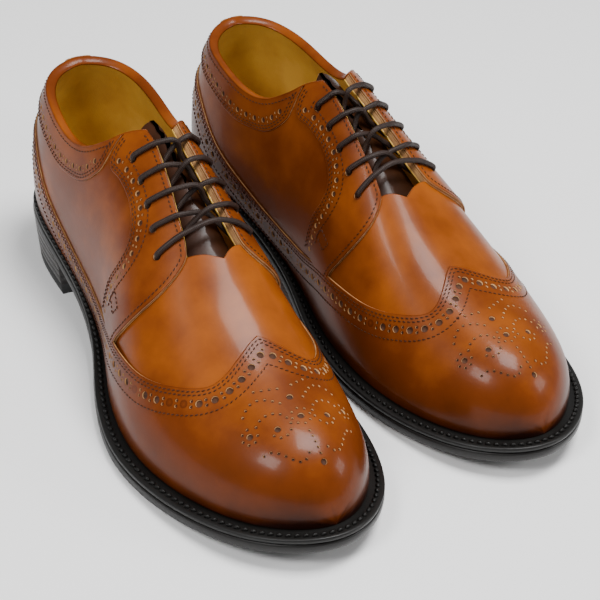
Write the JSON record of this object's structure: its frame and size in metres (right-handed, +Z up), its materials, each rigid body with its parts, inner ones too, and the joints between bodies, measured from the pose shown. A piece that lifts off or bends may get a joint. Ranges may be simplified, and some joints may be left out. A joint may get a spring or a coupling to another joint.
{
  "type": "pair of leather derby shoes",
  "caption": "Pair of laced leather brogue derby shoes with longwing toe caps, welted soles and stacked heels, each lined, with a hinged tongue and an open foot cavity.",
  "frame": {"origin": "centre of the pair's footprint, on the floor", "axes": "+Z up, +Y towards the toes, +X towards the wearer's right"},
  "size_m": [0.2382, 0.3044, 0.1187],
  "materials": {
    "calf": "burnished smooth calf, polished",
    "tongue": "smooth calf, satin",
    "lining": "smooth calf lining, satin",
    "stiffener": "matt fibre leather",
    "insole_leather": "matt vegetable-tanned leather",
    "sole": "waxed black edge",
    "rubber": "matt",
    "cork": "granulated cork",
    "shank_steel": "brushed",
    "lace": "waxed round braid",
    "aglet": "clear film over braid"
  },
  "bodies": {
    "right_shoe": {"right_outsole": "sole", "right_welt": "sole", "right_cork_filler": "cork", "right_shank": "shank_steel", "right_insole": "insole_leather", "right_sock_lining": "lining", "right_top_piece": "rubber", "right_heel_lift_1": "sole", "right_heel_lift_2": "sole", "right_heel_lift_3": "sole", "right_heel_rand": "sole", "right_quarter_lining": "lining", "right_vamp_lining": "lining", "right_toe_puff": "stiffener", "right_heel_counter": "stiffener", "right_vamp": "calf", "right_quarter_outer": "calf", "right_quarter_inner": "calf", "right_wing_cap": "calf", "right_facing_outer": "calf", "right_facing_inner": "calf", "right_collar_band_outer": "calf", "right_collar_band_inner": "calf", "right_backstay": "calf", "right_lace": "lace", "right_aglet_1": "aglet", "right_aglet_2": "aglet"},
    "right_tongue_flap": {"right_tongue": "tongue"},
    "left_shoe": {"left_outsole": "sole", "left_welt": "sole", "left_cork_filler": "cork", "left_shank": "shank_steel", "left_insole": "insole_leather", "left_sock_lining": "lining", "left_top_piece": "rubber", "left_heel_lift_1": "sole", "left_heel_lift_2": "sole", "left_heel_lift_3": "sole", "left_heel_rand": "sole", "left_quarter_lining": "lining", "left_vamp_lining": "lining", "left_toe_puff": "stiffener", "left_heel_counter": "stiffener", "left_vamp": "calf", "left_quarter_outer": "calf", "left_quarter_inner": "calf", "left_wing_cap": "calf", "left_facing_outer": "calf", "left_facing_inner": "calf", "left_collar_band_outer": "calf", "left_collar_band_inner": "calf", "left_backstay": "calf", "left_lace": "lace", "left_aglet_1": "aglet", "left_aglet_2": "aglet"},
    "left_tongue_flap": {"left_tongue": "tongue"}
  },
  "joints": [
    {"name": "right_tongue_flex", "type": "hinge", "parent": "right_shoe", "child": "right_tongue_flap", "pos_m": [0.0544, 0.0399, 0.0718], "axis": [0.998, -0.0628, 0], "range_deg": [0, 15], "stiffness_Nm_per_rad": 0.2, "springref_deg": -1.15},
    {"name": "left_tongue_flex", "type": "hinge", "parent": "left_shoe", "child": "left_tongue_flap", "pos_m": [-0.0544, 0.0359, 0.0718], "axis": [0.998, 0.0628, 0], "range_deg": [0, 15], "stiffness_Nm_per_rad": 0.2, "springref_deg": -1.15},
    {"name": "left_shoe_lift", "type": "slide", "parent": "right_shoe", "child": "left_shoe", "axis": [0, 0, 1], "range_m": [0, 0.16]}
  ]
}
